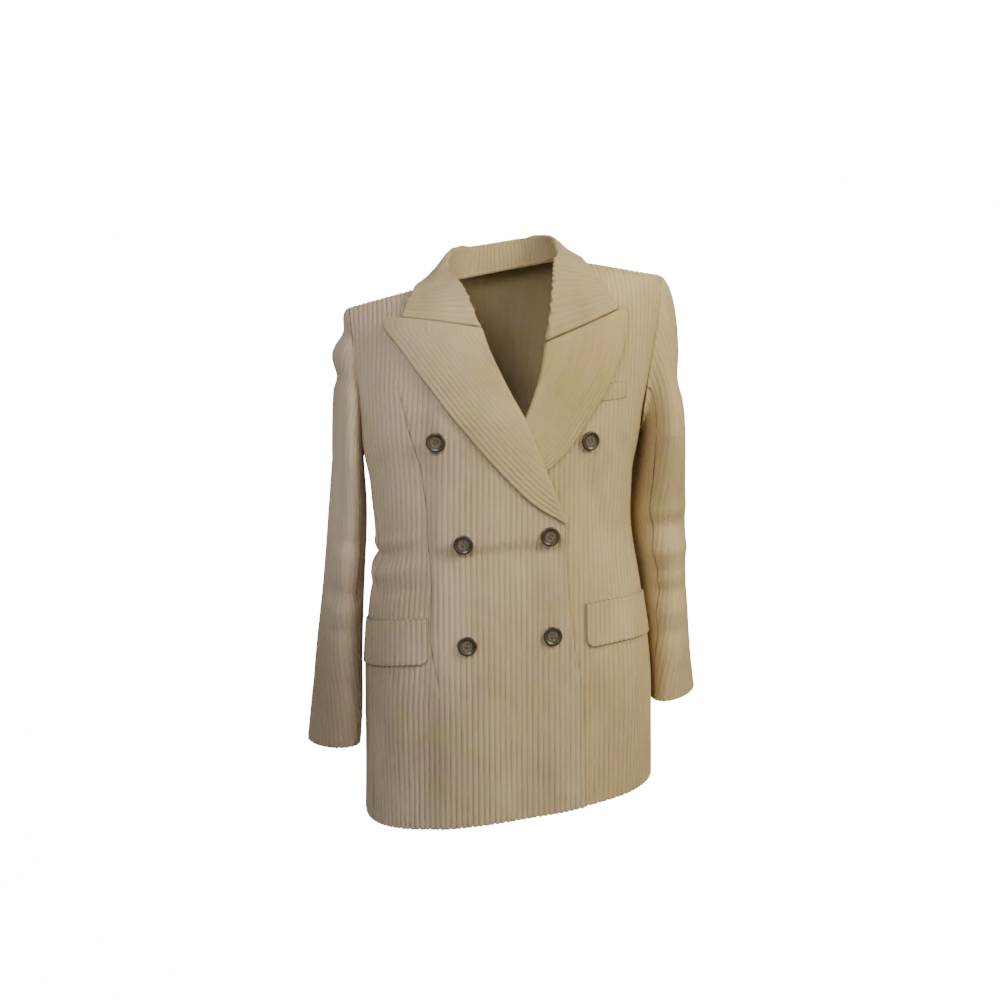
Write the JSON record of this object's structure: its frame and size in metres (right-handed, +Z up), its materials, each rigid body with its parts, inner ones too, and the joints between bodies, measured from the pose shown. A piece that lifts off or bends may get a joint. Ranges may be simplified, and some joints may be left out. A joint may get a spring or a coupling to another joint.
{
  "type": "double breasted blazer",
  "caption": "Double breasted corduroy blazer with wide peaked lapels, fastened buttons and flap pockets, hollow and in its worn form.",
  "frame": {"origin": "middle of the neck base between the two shoulder seams, where the wearer's neck and shoulders hold the garment", "axes": "+Z up, -Y to the front, -X to the wearer's right side; the garment hangs a little lower on the wearer's right"},
  "size_m": [0.5404, 0.2774, 0.771],
  "materials": {
    "corduroy_right": "ribbed pile",
    "corduroy_left": "ribbed pile",
    "horn": "polished"
  },
  "bodies": {
    "root": {"front_right": "corduroy_right", "front_left": "corduroy_left", "side_panel_right": "corduroy_right", "side_panel_left": "corduroy_left", "back_right": "corduroy_right", "back_left": "corduroy_left", "sleeve_top_right": "corduroy_right", "sleeve_top_left": "corduroy_left", "sleeve_under_right": "corduroy_right", "sleeve_under_left": "corduroy_left", "lapel_right": "corduroy_right", "lapel_left": "corduroy_left", "pocket_flap_right": "corduroy_right", "pocket_flap_left": "corduroy_left", "collar": "corduroy_right", "breast_welt": "corduroy_left", "button_right_top": "horn", "button_left_top": "horn", "button_right_middle": "horn", "button_left_middle": "horn", "button_right_low": "horn", "button_left_low": "horn"}
  },
  "joints": []
}
